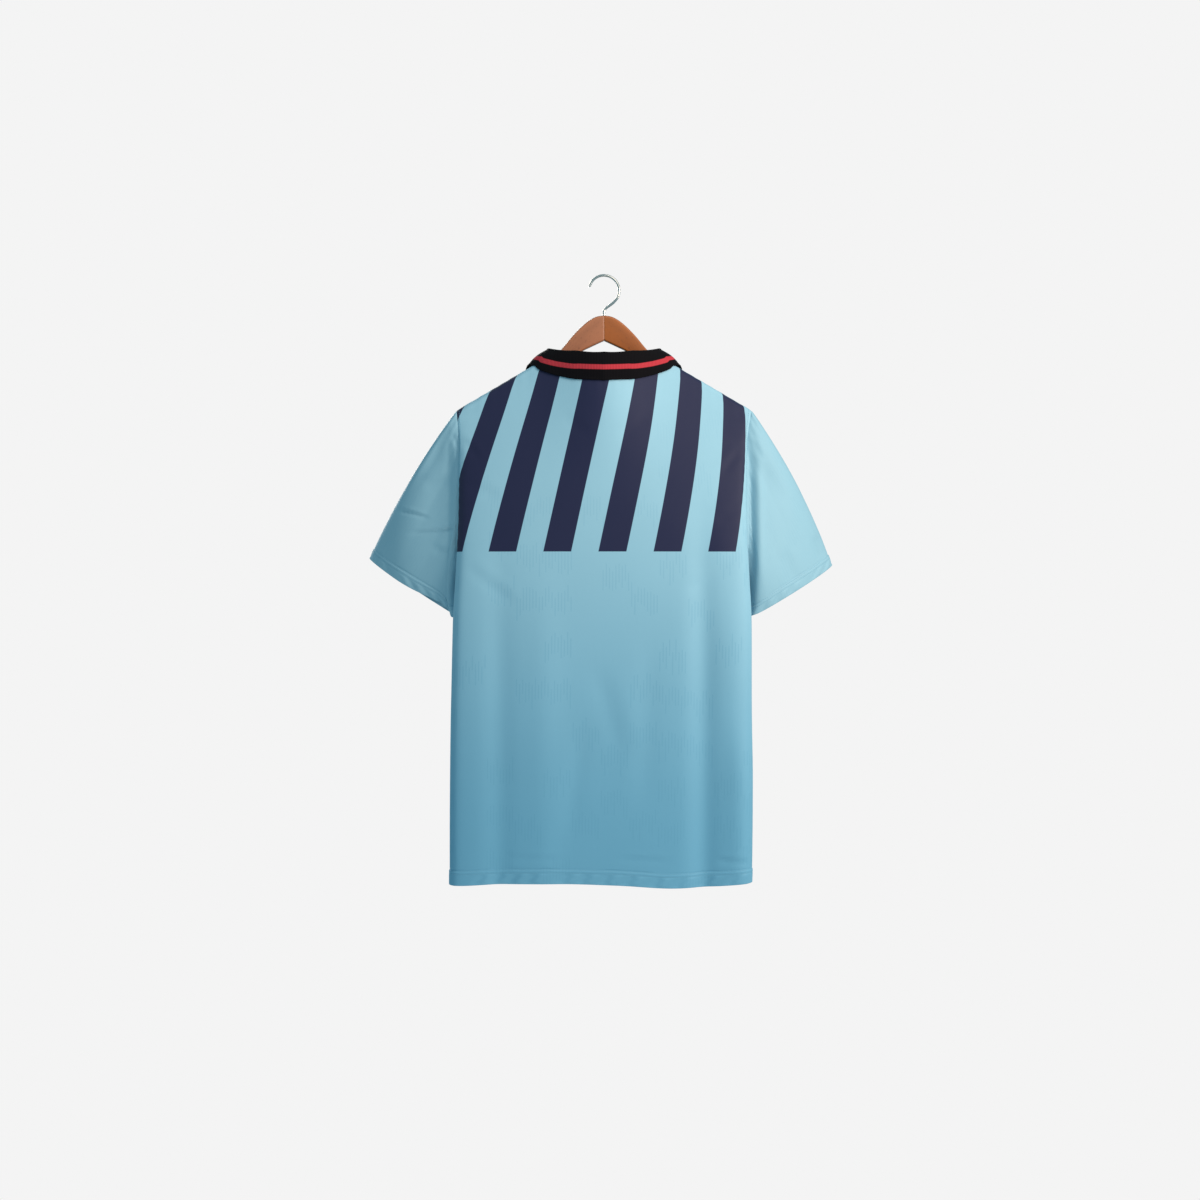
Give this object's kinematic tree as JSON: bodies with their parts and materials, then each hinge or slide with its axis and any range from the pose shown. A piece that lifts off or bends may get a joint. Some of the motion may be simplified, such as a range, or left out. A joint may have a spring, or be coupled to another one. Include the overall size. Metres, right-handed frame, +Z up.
{
  "type": "football jersey on a clothes hanger",
  "caption": "Short-sleeved football jersey with a fold-down collar, hanging on a wooden clothes hanger with a wire hook.",
  "frame": {"origin": "inside top of the hanger's wire hook, where a rail or peg holds it", "axes": "+Z up, +Y towards the front of the garment, +X to the wearer's right"},
  "size_m": [0.6779, 0.1364, 0.8754],
  "materials": {
    "jersey_knit": "sky blue polyester knit with a faint satin sheen and navy printed bars",
    "collar_knit": "black flat-knit rib with one red stripe",
    "hanger_wood_pale": "varnished, paler half",
    "hanger_wood_brown": "varnished, warmer brown half",
    "hook_steel": "nickel-plated wire"
  },
  "bodies": {
    "root": {"back_panel": "jersey_knit", "front_panel": "jersey_knit", "sleeve_left": "jersey_knit", "sleeve_right": "jersey_knit", "collar": "collar_knit", "hanger_arm_left": "hanger_wood_pale", "hanger_arm_right": "hanger_wood_brown", "hanger_hook": "hook_steel"}
  },
  "joints": []
}
